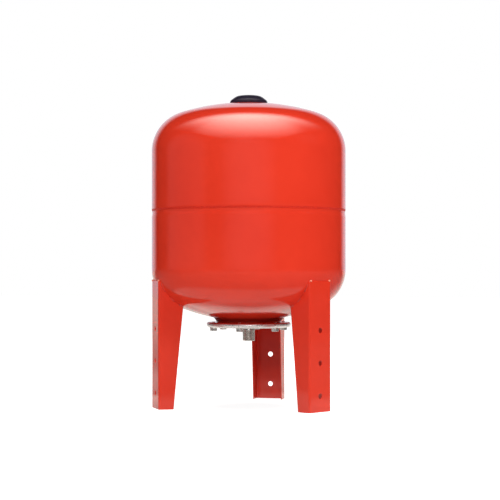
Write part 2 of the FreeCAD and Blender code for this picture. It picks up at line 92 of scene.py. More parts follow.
def upper_dome_z(r, inset=0.0):
    """Height of the upper crown at a distance from the axis."""
    return upper_bend_z - crown_rise(upper_crown_r) + sqrt((upper_crown_r - inset) ** 2 - r ** 2)


def lower_dome_z(r):
    """Height of the lower dome at a distance from the axis, on its crown or its knuckle."""
    meet = atan2(crown_rise(lower_crown_r), bend_r)
    if r > lower_crown_r * cos(meet):
        return lower_bend_z - sqrt(max(0.0, knuckle_r ** 2 - (r - bend_r) ** 2))
    return lower_bend_z + crown_rise(lower_crown_r) - sqrt(lower_crown_r ** 2 - r ** 2)


neck_top_z = lower_dome_z(neck_r)
lip_top_z = neck_top_z - neck_length
lip_z = lip_top_z - lip_t
dish_floor_z = lip_z - bladder_gap
dish_z = dish_floor_z - dish_t
nipple_end_z = dish_z - stub_length
leg_top_z = lower_dome_z(leg_face_r - leg_t / 2)
seat_z = upper_dome_z(seat_r)
inner_seat_z = upper_dome_z(inner_seat_r, shell_t)
nut_seat_z = seat_z + valve_washer_t


# Helpers for node trees

def add(tree, kind, inputs=None, **settings):
    """A node with its settings, and its inputs linked or set."""
    made = tree.nodes.new(kind)
    for key, value in settings.items():
        setattr(made, key, value)
    for key, value in (inputs or {}).items():
        if isinstance(value, bpy.types.NodeSocket):
            tree.links.new(value, made.inputs[key])
        else:
            made.inputs[key].default_value = value
    return made


def maths(tree, operation, *values):
    """The result of a maths node on its values."""
    return add(tree, "ShaderNodeMath", dict(enumerate(values)), operation=operation).outputs[0]


def vector_maths(tree, operation, *values):
    """The number that a vector maths node makes of its vectors."""
    made = add(tree, "ShaderNodeVectorMath", dict(enumerate(values)), operation=operation)
    return made.outputs["Value"]


def new_tree(name, inputs):
    """A Geometry Nodes tree with a named input for each size, and its material."""
    tree = bpy.data.node_groups.new(name, "GeometryNodeTree")
    for label, kind in {"Geometry": "Geometry", **inputs, "Finish": "Material"}.items():
        tree.interface.new_socket(label, in_out="INPUT", socket_type="NodeSocket" + kind)
    tree.interface.new_socket("Geometry", in_out="OUTPUT", socket_type="NodeSocketGeometry")
    return tree, tree.nodes.new("NodeGroupInput").outputs


def finish_tree(tree, geometry, sizes):
    """End a tree in real copies with their material."""
    real = add(tree, "GeometryNodeRealizeInstances", {0: geometry}).outputs[0]
    dressed = add(tree, "GeometryNodeSetMaterial", {"Geometry": real, "Material": sizes["Finish"]})
    add(tree, "NodeGroupOutput", {0: dressed.outputs[0]})


# Helpers for meshes and pieces

def plain_mesh(points, edges, faces):
    mesh = bpy.data.meshes.new("form")
    mesh.from_pydata(points, edges, faces)
    return mesh


def new_object(name, data):
    made = bpy.data.objects.new(name, data)
    bpy.context.collection.objects.link(made)
    return made


def taken_from(holder):
    """The plain mesh that a passing object's modifiers make; the object goes."""
    graph = bpy.context.evaluated_depsgraph_get()
    mesh = bpy.data.meshes.new_from_object(holder.evaluated_get(graph))
    holder.modifiers.clear()
    bpy.data.objects.remove(holder)
    return mesh


def grown(tree, base, values):
    """The plain mesh that a tree makes from a base mesh."""
    holder = new_object("holder", base)
    modifier = holder.modifiers.new("nodes", "NODES")
    modifier.node_group = tree
    for item in tree.interface.items_tree:
        if item.in_out == "INPUT" and item.name in values:
            modifier[item.identifier] = values[item.name]
    return taken_from(holder)


def shaded(mesh, crease=None):
    """Shade smooth, and sharp past an angle in degrees if one is given."""
    mesh.shade_smooth()
    if crease:
        mesh.set_sharp_from_angle(angle=radians(crease))
    return mesh


def tidy(mesh, crease=None):
    """Merge doubles, turn faces outwards and shade."""
    work = bmesh.new()
    work.from_mesh(mesh)
    bmesh.ops.remove_doubles(work, verts=work.verts, dist=1e-6)
    bmesh.ops.dissolve_degenerate(work, dist=1e-7, edges=work.edges)
    bmesh.ops.recalc_face_normals(work, faces=work.faces)
    work.to_mesh(mesh)
    work.free()
    return shaded(mesh, crease)


def softened(mesh, width, angle):
    """Round the edges of a mesh that are sharper than an angle."""
    holder = new_object("holder", mesh)
    bevel = holder.modifiers.new("edges", "BEVEL")
    bevel.width = width * mm
    bevel.segments = 2
    bevel.limit_method = "ANGLE"
    bevel.angle_limit = radians(angle)
    return shaded(taken_from(holder), 40)


def joined(meshes):
    """One mesh from several."""
    work = bmesh.new()
    for mesh in meshes:
        work.from_mesh(mesh)
    made = bpy.data.meshes.new("joined")
    work.to_mesh(made)
    work.free()
    return made


def moved(mesh, matrix):
    mesh.transform(matrix)
    return mesh


def raised(mesh, z):
    return moved(mesh, Matrix.Translation((0, 0, z * mm)))


def turn_z(angle):
    return Matrix.Rotation(radians(angle), 4, "Z")


def with_next(items):
    """Each item of a list with its next one, the last with the first."""
    return zip(items, items[1:] + items[:1])


def place(name, mesh, finish, node, body="tank"):
    """Put a finished piece on its body, in place of the node that it stands for."""
    mesh.name = name
    mesh.materials.clear()
    mesh.materials.append(finish)
    piece = new_object(name, mesh)
    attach(piece, body)
    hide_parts(node)
    return piece


# Turned forms: an outline of distance from the axis and height, swept round by nodes

def soft_outline(corners, edge_r=0.3, step=12.0, full=False):
    """Outline points from corners (r, z) or (r, z, fillet); plain corners get edge_r.

    A fillet keeps to less than half of its shorter side, with a guard point on either side of
    it. With full it has no guards and may use the whole side.
    """
    outline = []
    for i, corner in enumerate(corners):
        here = Vector(corner[:2])
        to_last = Vector(corners[i - 1][:2]) - here
        to_next = Vector(corners[(i + 1) % len(corners)][:2]) - here
        opening = to_last.angle(to_next)
        radius = corner[2] if len(corner) > 2 else edge_r
        if corner[0] == 0 or radius == 0 or opening > radians(178):
            outline.append(tuple(here))
            continue
        room = 0.45 * min(to_last.length, to_next.length)
        reach = radius / tan(opening / 2)
        if not full:
            reach = min(reach, room)
            radius = reach * tan(opening / 2)
        last_way = to_last.normalized()
        next_way = to_next.normalized()
        centre = here + (last_way + next_way).normalized() * radius / sin(opening / 2)
        start = here + last_way * reach - centre
        end = here + next_way * reach - centre
        turn = start.angle(end)
        side = 1 if start.x * end.y - start.y * end.x > 0 else -1
        steps = max(3, ceil(degrees(turn) / step))
        guard = reach + min(reach * 0.35, room * 0.1)
        arc = []
        for k in range(steps + 1):
            angle = side * turn * k / steps
            c = cos(angle)
            s = sin(angle)
            arc.append((centre.x + start.x * c - start.y * s, centre.y + start.x * s + start.y * c))
        if not full:
            arc = [tuple(here + last_way * guard)] + arc + [tuple(here + next_way * guard)]
        outline += arc
    return outline


def arc_points(centre_r, centre_z, radius, start, end, count):
    """Points along an arc, both ends with it, angles in radians from the outward direction."""
    made = []
    for i in range(count + 1):
        angle = start + (end - start) * i / count
        made.append((centre_r + radius * cos(angle), centre_z + radius * sin(angle)))
    return made


path_r = 100.0


def make_turning_tree():
    """Sweep an outline round the axis."""
    tree, sizes = new_tree("turned form", {"Steps": "Int"})
    profile = add(tree, "GeometryNodeMeshToCurve", {0: sizes["Geometry"]})
    path = add(tree, "GeometryNodeCurvePrimitiveCircle",
               {"Resolution": sizes["Steps"], "Radius": path_r * mm})
    swept = add(tree, "GeometryNodeCurveToMesh",
                {"Curve": path.outputs[0], "Profile Curve": profile.outputs[0]})
    merged = add(tree, "GeometryNodeMergeByDistance", {"Geometry": swept.outputs[0], "Distance": 1e-6})
    smooth = add(tree, "GeometryNodeSetShadeSmooth", {"Geometry": merged.outputs[0]})
    finish_tree(tree, smooth.outputs[0], sizes)
    return tree


turning_tree = make_turning_tree()


def turned(outline, steps, crease=None):
    """The mesh of an outline swept round the axis, closed at its poles."""
    points = [((r - path_r) * mm, -z * mm, 0) for r, z in outline]
    edges = [(i, i + 1) for i in range(len(points) - 1)]
    if outline[0][0] > 1e-9 or outline[-1][0] > 1e-9:
        edges.append((len(points) - 1, 0))
    return tidy(grown(turning_tree, plain_mesh(points, edges, []), {"Steps": steps}), crease)


def rippled(mesh, pitch, depth, lean, seed):
    """Press the scales of a weld run into a turned bead, leaning with height."""
    rng = random.Random(seed)
    drift = [rng.uniform(-1, 1) for _ in range(24)]
    top = max(v.co.z for v in mesh.vertices)
    low = min(v.co.z for v in mesh.vertices)
    outer = max(hypot(v.co.x, v.co.y) for v in mesh.vertices)
    scales = round(2 * pi * outer / (pitch * mm))
    for vertex in mesh.vertices:
        r = hypot(vertex.co.x, vertex.co.y)
        angle = atan2(vertex.co.y, vertex.co.x)
        across = (vertex.co.z - low) / (top - low) - 0.5
        place_round = (angle / (2 * pi)) % 1 * len(drift)
        k = int(place_round) % len(drift)
        blend = place_round - int(place_round)
        wander = drift[k] * (1 - blend) + drift[(k + 1) % len(drift)] * blend
        phase = angle * scales + lean * across * across * 8 + wander * 3
        dent = depth * mm * (0.5 + 0.5 * sin(phase)) ** 2 + depth * mm * 0.3 * (1 + wander)
        share = (r - dent) / r
        vertex.co.x *= share
        vertex.co.y *= share
    return mesh


def threaded(outline, wall, crest, pitch, depth, steps, per_turn):
    """A turned mesh whose wall between two heights carries a screw thread."""
    low, high = wall

    def thread_r(z, angle):
        """Radius of the thread at a height and angle, run out at both ends."""
        flat = 0.12
        phase = (z / pitch - angle / (2 * pi)) % 1
        flank = abs(phase - 0.5) * 2
        form = min(1.0, max(0.0, (flank - flat) / (1 - 2 * flat)))
        return crest - depth * form * min(1.0, (z - low) / pitch, (high - z) / pitch)

    rows = int((high - low) / pitch * per_turn)
    levels = [low + (high - low) * k / rows for k in range(rows + 1)]
    finer = []
    for here, following in with_next(outline):
        finer.append(here)
        on_wall = abs(here[0] - crest) < 0.01 and abs(following[0] - crest) < 0.01
        if on_wall and abs(following[1] - here[1]) > pitch:
            bottom, top = sorted((here[1], following[1]))
            side = 1 if following[1] > here[1] else -1
            finer += [(crest, z) for z in levels[::side] if bottom < z < top]
    mesh = turned(finer, steps)
    for vertex in mesh.vertices:
        r = hypot(vertex.co.x, vertex.co.y) / mm
        z = vertex.co.z / mm
        if abs(r - crest) < 0.01 and low < z < high:
            share = thread_r(z, atan2(vertex.co.y, vertex.co.x)) / r
            vertex.co.x *= share
            vertex.co.y *= share
    return mesh


# Hexagons, rings of copies and bolt holes

def hexagon_mesh(flats, height, hole_r=0.0):
    """A bolt head with the corners of its outer end turned off, or a nut with both, round its hole."""
    around = 96
    face_r = flats / 2 * 0.96
    slope = tan(radians(30))
    inner_r = hole_r or 0.02
    rings = [(inner_r, 0.0, 0), (face_r, 0.0, 0), (None, 0.0, 1)]
    if hole_r:
        rings += [(None, height, -1), (face_r, height, 0)]
    else:
        rings += [(None, height, 0)]
    rings += [(inner_r, height, 0)]
    points = []
    for fixed_r, z, rise in rings:
        for k in range(around):
            angle = 2 * pi * k / around
            side_r = flats / 2 / cos((angle - pi / 6) % (pi / 3) - pi / 6)
            r = fixed_r or side_r
            turned_z = z + rise * max(0.0, r - face_r) * slope
            points.append((r * cos(angle) * mm, r * sin(angle) * mm, turned_z * mm))
    faces = []
    count = len(rings)
    for i in range(count if hole_r else count - 1):
        a = i * around
        b = (i + 1) % count * around
        for k, following in with_next(list(range(around))):
            faces.append((a + k, a + following, b + following, b + k))
    if not hole_r:
        faces.append(tuple(range(around)))
        faces.append(tuple(range((count - 1) * around, count * around)))
    return softened(tidy(plain_mesh(points, [], faces)), 0.25, 25)


def make_ring_tree():
    """Copies of a base mesh on a circle, each turned with its place."""
    tree, sizes = new_tree("ring of copies", {"Count": "Int", "Radius": "Float"})
    circle = add(tree, "GeometryNodeMeshCircle", {"Vertices": sizes["Count"], "Radius": sizes["Radius"]})
    index = tree.nodes.new("GeometryNodeInputIndex")
    turn = maths(tree, "MULTIPLY", maths(tree, "DIVIDE", index.outputs[0], sizes["Count"]), 2 * pi)
    angles = add(tree, "ShaderNodeCombineXYZ", {"Z": turn})
    copies = add(tree, "GeometryNodeInstanceOnPoints",
                 {"Points": circle.outputs[0], "Instance": sizes["Geometry"],
                  "Rotation": angles.outputs[0]})
    finish_tree(tree, copies.outputs[0], sizes)
    return tree


ring_tree = make_ring_tree()


def bolt_ring(base):
    """A copy of a mesh at each bolt of the flange, the first towards the rear leg."""
    copies = grown(ring_tree, base, {"Count": bolt_count, "Radius": bolt_circle_r * mm})
    return moved(copies, turn_z(90))


def drilled(mesh, hole_r, low, high):
    """Cut the ring of bolt holes."""
    cutter = turned([(0, low), (hole_r, low), (hole_r, high), (0, high)], 32)
    tool = new_object("tool", bolt_ring(cutter))
    body = new_object("drilled", mesh)
    cut = body.modifiers.new("holes", "BOOLEAN")
    cut.operation = "DIFFERENCE"
    cut.solver = "EXACT"
    cut.object = tool
    made = shaded(taken_from(body), 35)
    bpy.data.objects.remove(tool)
    return made


# Folded legs: a grid of columns and rows, with a square cell round each hole

hole_cell = 11.0
hole_steps = 8
bend_steps = 8
top_rows = 14
dome_gap = 0.12


def leg_depth(z):
    """How far the leg's sides reach in at a height."""
    return foot_depth + depth_gain * z


def cell_lines(middle):
    """Grid lines across the cell of a hole."""
    return [middle - hole_cell + 2 * hole_cell * i / hole_steps for i in range(hole_steps + 1)]


def leg_columns():
    """Places across a leg's section: kind, side and how far along."""
    left = [("flange", -1, 1 - i / bend_steps) for i in range(bend_steps)]
    left += [("bend", -1, 1 - i / bend_steps) for i in range(bend_steps + 1)]
    web = [("web", 0, x) for x in [-22.0, -16.0] + cell_lines(0) + [16.0, 22.0]]
    right = [(kind, 1, along) for kind, _, along in reversed(left)]
    return left + web + right


def leg_place(column, z, inset):
    """Where a column of the leg's sheet stands at a height, on the face inset from the outside."""
    kind, side, along = column
    bend_y = leg_face_r - leg_bend_r
    if kind == "web":
        return along, leg_face_r - inset
    if kind == "bend":
        angle = pi / 2 * (1 - along)
        radius = leg_bend_r - inset
        centre_x = side * (leg_w / 2 - leg_bend_r)
        return centre_x + side * radius * cos(angle), bend_y + radius * sin(angle)
    return side * (leg_w / 2 - inset), bend_y - along * (leg_depth(z) - leg_bend_r)


def leg_column_top(column, inset):
    """Height where a column of the sheet meets the dome or the leg's cut top."""
    z = leg_top_z
    for _ in range(30):
        x, y = leg_place(column, z, inset)
        z = min(leg_top_z, lower_dome_z(hypot(x, y)) - dome_gap)
    return z


def leg_rows():
    """Heights of the sheet's rows below its shaped top."""
    rows = [0.0, 4.0, 10.0]
    for hole_z in leg_holes:
        rows += cell_lines(hole_z) + [hole_z + 20.0, hole_z + 32.0]
    return sorted(z for z in set(rows) if z <= 190.0)


def leg_skin(points, columns, rows, inset):
    """Add one face of the sheet to the points; the numbers of its points by column and row."""
    skin = []
    for column in columns:
        top = leg_column_top(column, inset)
        line = []
        for z in rows + [rows[-1] + (top - rows[-1]) * (i + 1) / top_rows for i in range(top_rows)]:
            x, y = leg_place(column, z, inset)
            line.append(len(points))
            points.append((x * mm, y * mm, z * mm))
        skin.append(line)
    return skin


def hole_ring(points, edge, inset, hole_z):
    """Add points from the edge of a hole's cell in to the hole; their numbers for each edge point."""
    ring = []
    for outermost in edge:
        x = points[outermost][0] / mm
        z = points[outermost][2] / mm - hole_z
        angle = atan2(z, x)
        steps = [outermost]
        for share in (0.5, 0.85, 1.0):
            inward_x = (leg_hole_r * cos(angle) - x) * share
            inward_z = (leg_hole_r * sin(angle) - z) * share
            steps.append(len(points))
            points.append(((x + inward_x) * mm, (leg_face_r - inset) * mm, (hole_z + z + inward_z) * mm))
        ring.append(steps)
    return ring


def cell_rim(first, start):
    """Column and row of each point round the edge of a hole's cell."""
    n = hole_steps
    rim = [(i, 0) for i in range(n)] + [(n, i) for i in range(n)]
    rim += [(n - i, n) for i in range(n)] + [(0, n - i) for i in range(n)]
    return [(first + c, start + r) for c, r in rim]


def make_leg_mesh():
    """The rear leg: an outer and an inner skin of folded sheet, joined at every edge."""
    columns = leg_columns()
    rows = leg_rows()
    points = []
    faces = []
    outer = leg_skin(points, columns, rows, 0.0)
    inner = leg_skin(points, columns, rows, leg_t)
    last_c = len(columns) - 1
    last_r = len(rows) + top_rows - 1
    first = columns.index(("web", 0, -hole_cell))
    starts = [rows.index(hole_z - hole_cell) for hole_z in leg_holes]
    cell = range(hole_steps)
    in_hole = {(first + i, start + j) for start in starts for i in cell for j in cell}
    for skin in (outer, inner):
        for c in range(last_c):
            for r in range(last_r):
                if (c, r) not in in_hole:
                    faces.append((skin[c][r], skin[c + 1][r], skin[c + 1][r + 1], skin[c][r + 1]))
    for r in range(last_r):
        for c in (0, last_c):
            faces.append((outer[c][r], outer[c][r + 1], inner[c][r + 1], inner[c][r]))
    for c in range(last_c):
        for r in (0, last_r):
            faces.append((outer[c][r], outer[c + 1][r], inner[c + 1][r], inner[c][r]))
    for start, hole_z in zip(starts, leg_holes):
        walls = []
        for skin, inset in ((outer, 0.0), (inner, leg_t)):
            edge = [skin[c][r] for c, r in cell_rim(first, start)]
            ring = hole_ring(points, edge, inset, hole_z)
            for here, following in with_next(ring):
                for j in range(len(here) - 1):
                    faces.append((here[j], following[j], following[j + 1], here[j + 1]))
            walls.append([steps[-1] for steps in ring])
        for (a, b), (c, d) in zip(with_next(walls[0]), with_next(walls[1])):
            faces.append((a, b, d, c))
    return softened(tidy(plain_mesh(points, [], faces)), 0.35, 45)


# Weld stitches that hold the legs

def make_bead_tree():
    """A weld bead along a path: a round section whose width swells with each scale."""
    tree, sizes = new_tree("weld bead", {"Width": "Float", "Scale pitch": "Float", "Ripple": "Float"})
    path = add(tree, "GeometryNodeMeshToCurve", {0: sizes["Geometry"]})
    fine = add(tree, "GeometryNodeResampleCurve", {"Curve": path.outputs[0], "Count": 56})
    where = tree.nodes.new("GeometryNodeSplineParameter")
    wave = maths(tree, "FRACT", maths(tree, "DIVIDE", where.outputs["Length"], sizes["Scale pitch"]))
    scales = maths(tree, "SUBTRACT", 1.0, maths(tree, "MULTIPLY", wave, sizes["Ripple"]))
    off_middle = maths(tree, "MULTIPLY", maths(tree, "SUBTRACT", where.outputs["Factor"], 0.5), 2.0)
    taper = maths(tree, "POWER", maths(tree, "POWER", off_middle, 2.0), 3.0)
    round_end = maths(tree, "SQRT", maths(tree, "SUBTRACT", 1.0, taper))
    width = maths(tree, "MULTIPLY", scales, round_end)
    swell = add(tree, "GeometryNodeSetCurveRadius", {"Curve": fine.outputs[0], "Radius": width})
    section = add(tree, "GeometryNodeCurvePrimitiveCircle", {"Resolution": 14, "Radius": sizes["Width"]})
    radius = tree.nodes.new("GeometryNodeInputRadius")
    sweep = add(tree, "GeometryNodeCurveToMesh",
                {"Curve": swell.outputs[0], "Profile Curve": section.outputs[0],
                 "Scale": radius.outputs[0], "Fill Caps": True})
    finish_tree(tree, sweep.outputs[0], sizes)
    return tree


bead_tree = make_bead_tree()


def bead(path, width, pitch, ripple):
    """A weld bead along places in millimetres."""
    points = [(x * mm, y * mm, z * mm) for x, y, z in path]
    base = plain_mesh(points, [(k, k + 1) for k in range(len(path) - 1)], [])
    values = {"Width": width * mm, "Scale pitch": pitch * mm, "Ripple": ripple}
    return tidy(grown(bead_tree, base, values))


def make_leg_weld_mesh():
    """Stitches in the corner between the rear leg's sides and the dome, and its two top tacks."""
    stitch_length = 9.0
    tack_length = 4.4
    end_gap = 10.0
    low_y = leg_face_r - leg_depth(leg_top_z) + end_gap
    high_y = leg_face_r - end_gap
    parts = []
    for side in (-1, 1):
        x = side * leg_w / 2
        for i in range(3):
            middle = low_y + (high_y - low_y) * i / 2
            path = []
            for k in range(13):
                y = middle + (k / 12 - 0.5) * stitch_length
                path.append((x, y, lower_dome_z(hypot(x, y))))
            parts.append(bead(path, 2.1, 1.3, 0.2))
        tack_x = side * (leg_w / 2 - 4.6)
        path = []
        for k in range(7):
            path.append((tack_x + (k / 6 - 0.5) * tack_length, leg_face_r - leg_t / 2, leg_top_z + 0.2))
        parts.append(bead(path, 2.2, 1.5, 0.18))
    return joined(parts)


# Helpers for finishes

def new_finish(name, colour, metal, rough, ior=1.5):
    """A finish with its plain values set, ready for its detail."""
    finish = bpy.data.materials.new(name)
    finish.use_nodes = True
    shader = finish.node_tree.nodes["Principled BSDF"]
    shader.inputs["Base Color"].default_value = (*colour, 1)
    shader.inputs["Metallic"].default_value = metal
    shader.inputs["Roughness"].default_value = rough
    shader.inputs["IOR"].default_value = ior
    return finish, finish.node_tree, shader


def feed(tree, shader, **sources):
    """Link values into a shader's inputs."""
    for label, source in sources.items():
        tree.links.new(source, shader.inputs[label.replace("_", " ")])


def own_place(tree):
    """The piece's own coordinates."""
    return tree.nodes.new("ShaderNodeTexCoord").outputs["Object"]


def own_height(tree):
    return add(tree, "ShaderNodeSeparateXYZ", {0: own_place(tree)}).outputs["Z"]


def spots(tree, scale, detail=3.0):
    """Noise on the piece's own coordinates."""
    noise = add(tree, "ShaderNodeTexNoise", {"Vector": own_place(tree), "Scale": scale, "Detail": detail})
    return noise.outputs["Fac"]


def spread(tree, value, low, high, to_low, to_high, way="LINEAR"):
    """A value taken from one range to another, kept inside it."""
    made = add(tree, "ShaderNodeMapRange", {"Value": value, "From Min": low, "From Max": high,
                                            "To Min": to_low, "To Max": to_high}, interpolation_type=way)
    return made.outputs[0]


def patchy(tree, scale, low=0, high=1, detail=3.0):
    """A value that changes over the piece between two levels."""
    return spread(tree, spots(tree, scale, detail), 0.3, 0.7, low, high)


def two_tones(tree, share, first, second):
    """A colour between two, each a socket or its red, green and blue."""
    tones = [tone if isinstance(tone, bpy.types.NodeSocket) else (*tone, 1) for tone in (first, second)]
    made = add(tree, "ShaderNodeMix", {"Factor": share, 6: tones[0], 7: tones[1]}, data_type="RGBA")
    return made.outputs[2]


def two_levels(tree, share, first, second):
    """A number between two."""
    return add(tree, "ShaderNodeMix", {0: share, 2: first, 3: second}, data_type="FLOAT").outputs[0]


def bumped(tree, shader, height, distance, under=None):
    """A bump on the surface, on top of another one if given."""
    made = add(tree, "ShaderNodeBump", {"Height": height, "Distance": distance})
    if under is not None:
        tree.links.new(under, made.inputs["Normal"])
    tree.links.new(made.outputs[0], shader.inputs["Normal"])
    return made.outputs[0]


# Finishes

def make_paint(name, waviness, shade):
    """Stoved red enamel: even gloss with a fine orange peel and slight changes of tone. A shade below 1
    darkens the whole colour as painted shade.
    """
    finish, tree, shader = new_finish(name, (0.86, 0.047, 0.021), 0.0, 0.09)
    deep = [level * shade for level in (0.84, 0.043, 0.019)]
    light = [level * shade for level in (0.90, 0.052, 0.023)]
    colour = two_tones(tree, patchy(tree, 7.0), deep, light)
    feed(tree, shader, Base_Color=colour, Roughness=patchy(tree, 60.0, 0.07, 0.11))
    wave = bumped(tree, shader, spots(tree, 12.0, 1.0), 0.0006 * waviness)
    bumped(tree, shader, spots(tree, 420.0, 2.0), 0.00002, wave)
    return finish


def make_weld_paint(name, deep, light, rough, ior, glint_tone=None):
    """Enamel over weld beads, darker in the dents; given a glint tone, the tops of the tacks are painted
    in it as a painted glint.
    """
    finish, tree, shader = new_finish(name, deep, 0.0, rough, ior)
    colour = two_tones(tree, spread(tree, spots(tree, 300.0), 0.35, 0.65, 0, 1), deep, light)
    if glint_tone:
        # Above this height the colour turns to the pale tone: a painted glint on the tacks.
        tack_z = leg_top_z - 4.0
        painted_glint = spread(tree, own_height(tree), tack_z * mm, (tack_z + 3.0) * mm, 0, 1)
        colour = two_tones(tree, painted_glint, colour, glint_tone)
    feed(tree, shader, Base_Color=colour)
    bumped(tree, shader, spots(tree, 900.0), 0.00002)
    return finish


def make_zinc(name):
    """Zinc plating on pressed sheet, with the enamel that runs over its rim next to the neck."""
    finish, tree, shader = new_finish(name, (0.90, 0.88, 0.87), 0.7, 0.3)
    zinc = two_tones(tree, patchy(tree, 40.0), (0.86, 0.83, 0.81), (0.94, 0.92, 0.91))
    edge_z = lip_top_z - 2.9
    painted = spread(tree, own_height(tree), edge_z * mm, (edge_z + 0.3) * mm, 0, 1)
    colour = two_tones(tree, painted, zinc, (0.42, 0.022, 0.012))
    feed(tree, shader, Base_Color=colour, Metallic=spread(tree, painted, 0, 1, 0.7, 0),
         Roughness=patchy(tree, 90.0, 0.25, 0.33, 5.0))
    bumped(tree, shader, spots(tree, 500.0, 4.0), 0.000012)
    return finish


def make_turned_steel(name, first, second, rough, lines, metal=1.0):
    """Bright metal with the fine rings that a lathe leaves."""
    finish, tree, shader = new_finish(name, first, metal, rough)
    colour = two_tones(tree, patchy(tree, 150.0), first, second)
    gloss = patchy(tree, 200.0, rough * 0.8, rough * 1.3, 4.0)
    feed(tree, shader, Base_Color=colour, Roughness=gloss)
    rings = add(tree, "ShaderNodeTexWave", {"Vector": own_place(tree), "Scale": lines, "Distortion": 0.6},
                bands_direction="Z")
    bumped(tree, shader, rings.outputs["Fac"], 0.00001)
    return finish


def make_soft(name, colour, rough, grain, depth, ior=1.45):
    """Rubber or moulded plastic with a fine grain."""
    finish, tree, shader = new_finish(name, colour, 0.0, rough, ior)
    tone = two_tones(tree, patchy(tree, 120.0), colour, [c * 1.5 for c in colour])
    gloss = patchy(tree, grain / 4, rough * 0.85, rough * 1.15, 4.0)
    feed(tree, shader, Base_Color=tone, Roughness=gloss)
    bumped(tree, shader, spots(tree, grain), depth)
    return finish


tank_paint = make_paint("tank_paint", 1.0, 1.0)
# The collar's enamel is darkened to 0.62 of the tank's: painted shade under the dome.
shade_darkened_collar_paint = make_paint("shade_darkened_collar_paint", 0.5, 0.62)
glint_tipped_weld_paint = make_weld_paint("glint_tipped_weld_paint", (0.62, 0.028, 0.014), (0.86, 0.048, 0.022), 0.12, 1.7,
                             glint_tone=(1.0, 0.32, 0.2))
seam_paint = make_weld_paint("seam_paint", (0.70, 0.029, 0.014), (0.78, 0.034, 0.017), 0.4, 1.2)
# The neck weld's enamel is much darker than the other welds: painted shade under the dome.
shade_darkened_neck_weld_paint = make_weld_paint("shade_darkened_neck_weld_paint", (0.4, 0.02, 0.01), (0.46, 0.024, 0.012), 0.25, 1.4)
flange_zinc = make_zinc("flange_zinc")
port_steel = make_turned_steel("port_steel", (0.60, 0.56, 0.53), (0.68, 0.64, 0.61), 0.2, 900.0, 0.95)
bolt_zinc = make_turned_steel("bolt_zinc", (0.72, 0.69, 0.66), (0.86, 0.83, 0.80), 0.26, 700.0, 0.8)
valve_brass = make_turned_steel("valve_brass", (0.72, 0.52, 0.22), (0.82, 0.64, 0.32), 0.22, 1500.0)
spring_steel = make_turned_steel("spring_steel", (0.45, 0.45, 0.46), (0.58, 0.58, 0.58), 0.25, 100.0)
seal_rubber = make_soft("seal_rubber", (0.018, 0.018, 0.019), 0.7, 1500.0, 0.00006)
cover_black = make_soft("cover_black", (0.022, 0.018, 0.03), 0.16, 2200.0, 0.00001, 1.14)


# The vessel

def dome_points(bend_z, side, crown_r, inset, end_r):
    """Knuckle and crown points from the side of the tank in to end_r."""
    rise = crown_rise(crown_r)
    meet = atan2(rise, bend_r)
    knuckle = arc_points(bend_r, bend_z, knuckle_r - inset, 0, side * meet, 40)
    stop = acos(end_r / (crown_r - inset))
    crown = arc_points(0, bend_z - side * rise, crown_r - inset, side * meet, side * stop, 30)
    return knuckle + crown[1:]


rim_round = 0.6


def upper_outline():
    """Rounded rim over the seam, side and dome, the valve's seat and hole, and back inside."""
    hole_r = 5.1
    rim_z = seam_z + seam_half
    outline = arc_points(tank_r - rim_round, rim_z + rim_round, rim_round, -pi / 2, 0, 6)
    outline += [(tank_r, rim_z + (upper_bend_z - rim_z) * i / 12) for i in range(1, 12)]
    outline += dome_points(upper_bend_z, 1, upper_crown_r, 0, seat_r)
    outline += [(seat_r - 0.6, seat_z), (hole_r + 0.3, seat_z), (hole_r, seat_z - 0.2)]
    outline += [(hole_r, inner_seat_z)]
    outline += dome_points(upper_bend_z, 1, upper_crown_r, shell_t, inner_seat_r)[::-1]
    return outline + [(tank_r - shell_t, rim_z)]


def lower_outline():
    """Shoulder and press line under the seam, side and dome, the neck's hole, and the joggled rim."""
    press_deep = 1.0
    press_step = 0.9
    hole_r = neck_r + 0.1
    shoulder_z = seam_z - seam_half
    joggle_z = shoulder_z + 3.5
    lap_z = seam_z + 14.0
    lap_r = tank_r - shell_t - lap_gap
    outline = [(tank_r - 2 * rim_round, shoulder_z), (tank_r - 1.6 * rim_round, shoulder_z - 0.2)]
    for k in range(1, 5):
        outline.append((tank_r - press_deep + 0.07 * (4 - k), shoulder_z - press_step * k))
    for k in range(5, 16):
        sunk = press_deep * (0.5 + 0.5 * cos(pi * (k - 4) / 11))
        outline.append((tank_r - sunk, shoulder_z - press_step * k))
    outline += [(tank_r, shoulder_z - (shoulder_z - lower_bend_z) * i / 12) for i in range(2, 12)]
    outline += dome_points(lower_bend_z, -1, lower_crown_r, 0, hole_r)
    outline += dome_points(lower_bend_z, -1, lower_crown_r, shell_t, hole_r)[::-1]
    outline += [(tank_r - shell_t, shoulder_z), (lap_r - shell_t, joggle_z)]
    return outline + [(lap_r - shell_t, lap_z), (lap_r, lap_z), (lap_r, joggle_z)]


def make_girth_mesh():
    """The low weld bead between the two rims."""
    inside_r = tank_r - shell_t
    outline = []
    for k in range(13):
        share = k / 12 * 2 - 1
        bow = 0.1 * (1 - share * share)
        outline.append((tank_r - 0.4 + 0.3 * share + bow, seam_z + seam_half * share))
    outline += [(inside_r, seam_z + seam_half), (inside_r - lap_gap, seam_z + 1.5)]
    return rippled(turned(outline, 1536, 50), pitch=3.2, depth=0.02, lean=1.0, seed=3)


place("upper_half", turned(upper_outline(), 256, 30), tank_paint, "upper_shell")
place("lower_half", turned(lower_outline(), 256, 30), tank_paint, "lower_shell")
place("girth_bead", make_girth_mesh(), seam_paint, "girth_weld")


# The water port: collar, dish and nipple

def make_collar_mesh():
    """Turned collar: a neck in the dome's opening and a thick lip with tapped holes."""
    inside_r = neck_r - neck_wall
    top_z = neck_top_z + 5.5
    corners = [(inside_r, top_z), (inside_r, lip_z, 3.0), (lip_r, lip_z)]
    corners += [(lip_r, lip_top_z, 0.6), (neck_r, lip_top_z, 1.5), (neck_r, top_z)]
    return drilled(turned(soft_outline(corners), 192), bolt_r + 0.1, lip_z - 1, lip_top_z + 1)


